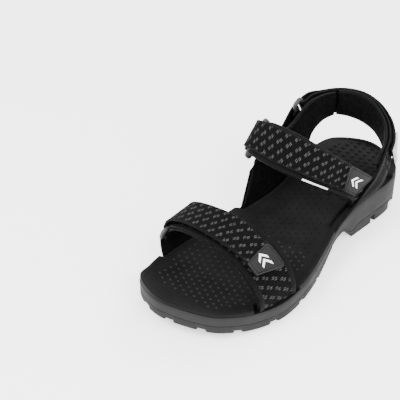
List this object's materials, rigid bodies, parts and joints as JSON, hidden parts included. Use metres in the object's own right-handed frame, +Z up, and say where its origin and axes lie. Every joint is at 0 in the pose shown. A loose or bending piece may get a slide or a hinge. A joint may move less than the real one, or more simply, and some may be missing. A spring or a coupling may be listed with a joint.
{
  "type": "strappy sport sandal",
  "caption": "Left sport sandal with three hook-and-loop straps turned back through plastic rings, a dished footbed, a foam midsole and a lugged rubber outsole.",
  "frame": {"origin": "on the ground, under the middle of the sandal's bounding box", "axes": "+Y towards the toe, +X towards the inner side of the foot, +Z up"},
  "size_m": [0.1202, 0.2856, 0.109],
  "materials": {
    "outsole_rubber": "matte dark grey moulded rubber with textured lugs",
    "midsole_foam": "matte grey moulded EVA foam",
    "footbed_foam": "matte black moulded foam with small raised dots and dimples",
    "strap_textile": "black woven textile with a small grey dash pattern",
    "lining_fabric": "black brushed knit lining over thin padding",
    "webbing": "plain black ribbed webbing",
    "hook_and_loop": "black hook-and-loop pile",
    "ring_plastic": "satin grey moulded plastic",
    "tab_rubber": "matte dark grey moulded rubber with a stitched outline"
  },
  "bodies": {
    "base": {"outsole": "outsole_rubber", "midsole": "midsole_foam", "footbed": "footbed_foam", "forefoot_strap": "strap_textile", "forefoot_lining": "lining_fabric", "forefoot_loop_patch": "hook_and_loop", "forefoot_ring_anchor": "webbing", "instep_strap": "strap_textile", "instep_lining": "lining_fabric", "instep_loop_patch": "hook_and_loop", "instep_ring_anchor": "webbing", "heel_strap": "strap_textile", "heel_loop_patch": "hook_and_loop", "heel_pad": "lining_fabric", "heel_webbing": "webbing", "medial_quarter": "strap_textile", "medial_quarter_lining": "lining_fabric", "lateral_quarter": "strap_textile"},
    "forefoot_link": {"forefoot_ring": "ring_plastic"},
    "forefoot_closure": {"forefoot_flap": "strap_textile", "forefoot_hook_patch": "hook_and_loop", "forefoot_pull_tab": "tab_rubber"},
    "instep_link": {"instep_ring": "ring_plastic"},
    "instep_closure": {"instep_flap": "strap_textile", "instep_hook_patch": "hook_and_loop", "instep_pull_tab": "tab_rubber"},
    "heel_link": {"heel_ring": "ring_plastic"},
    "heel_closure": {"heel_flap": "strap_textile"},
    "heel_closure_tip": {"heel_flap_tip": "strap_textile", "heel_hook_patch": "hook_and_loop", "heel_pull_tab": "tab_rubber"}
  },
  "joints": [
    {"name": "forefoot_ring_swivel", "type": "hinge", "parent": "base", "child": "forefoot_link", "pos_m": [0.05578, 0.06872, 0.03261], "axis": [-0.0135, 0.9998, -0.0135], "range_deg": [0, 12]},
    {"name": "forefoot_flap_open", "type": "hinge", "parent": "forefoot_link", "child": "forefoot_closure", "pos_m": [0.05235, 0.06879, 0.04147], "axis": [-0.0135, 0.9998, -0.0135], "range_deg": [0, 120]},
    {"name": "instep_ring_swivel", "type": "hinge", "parent": "base", "child": "instep_link", "pos_m": [0.04195, -0.02336, 0.07919], "axis": [0, 0.7316, -0.6817], "range_deg": [0, 12]},
    {"name": "instep_flap_open", "type": "hinge", "parent": "instep_link", "child": "instep_closure", "pos_m": [0.04021, -0.01699, 0.08602], "axis": [0, 0.7316, -0.6817], "range_deg": [0, 115]},
    {"name": "heel_ring_swivel", "type": "hinge", "parent": "base", "child": "heel_link", "pos_m": [0.04329, -0.08252, 0.07501], "axis": [0, 0.4789, 0.8779], "range_deg": [0, 10]},
    {"name": "heel_flap_open", "type": "hinge", "parent": "heel_link", "child": "heel_closure", "pos_m": [0.04274, -0.09084, 0.07956], "axis": [0, 0.4789, 0.8779], "range_deg": [0, 75]},
    {"name": "heel_tip_peel", "type": "hinge", "parent": "heel_closure", "child": "heel_closure_tip", "pos_m": [0.00074, -0.14162, 0.06977], "axis": [0.0018, -0.0252, 0.9997], "range_deg": [0, 60]}
  ],
  "couplings": [
    {"joint": "heel_tip_peel", "follows": "heel_flap_open", "ratio": 0.8}
  ]
}
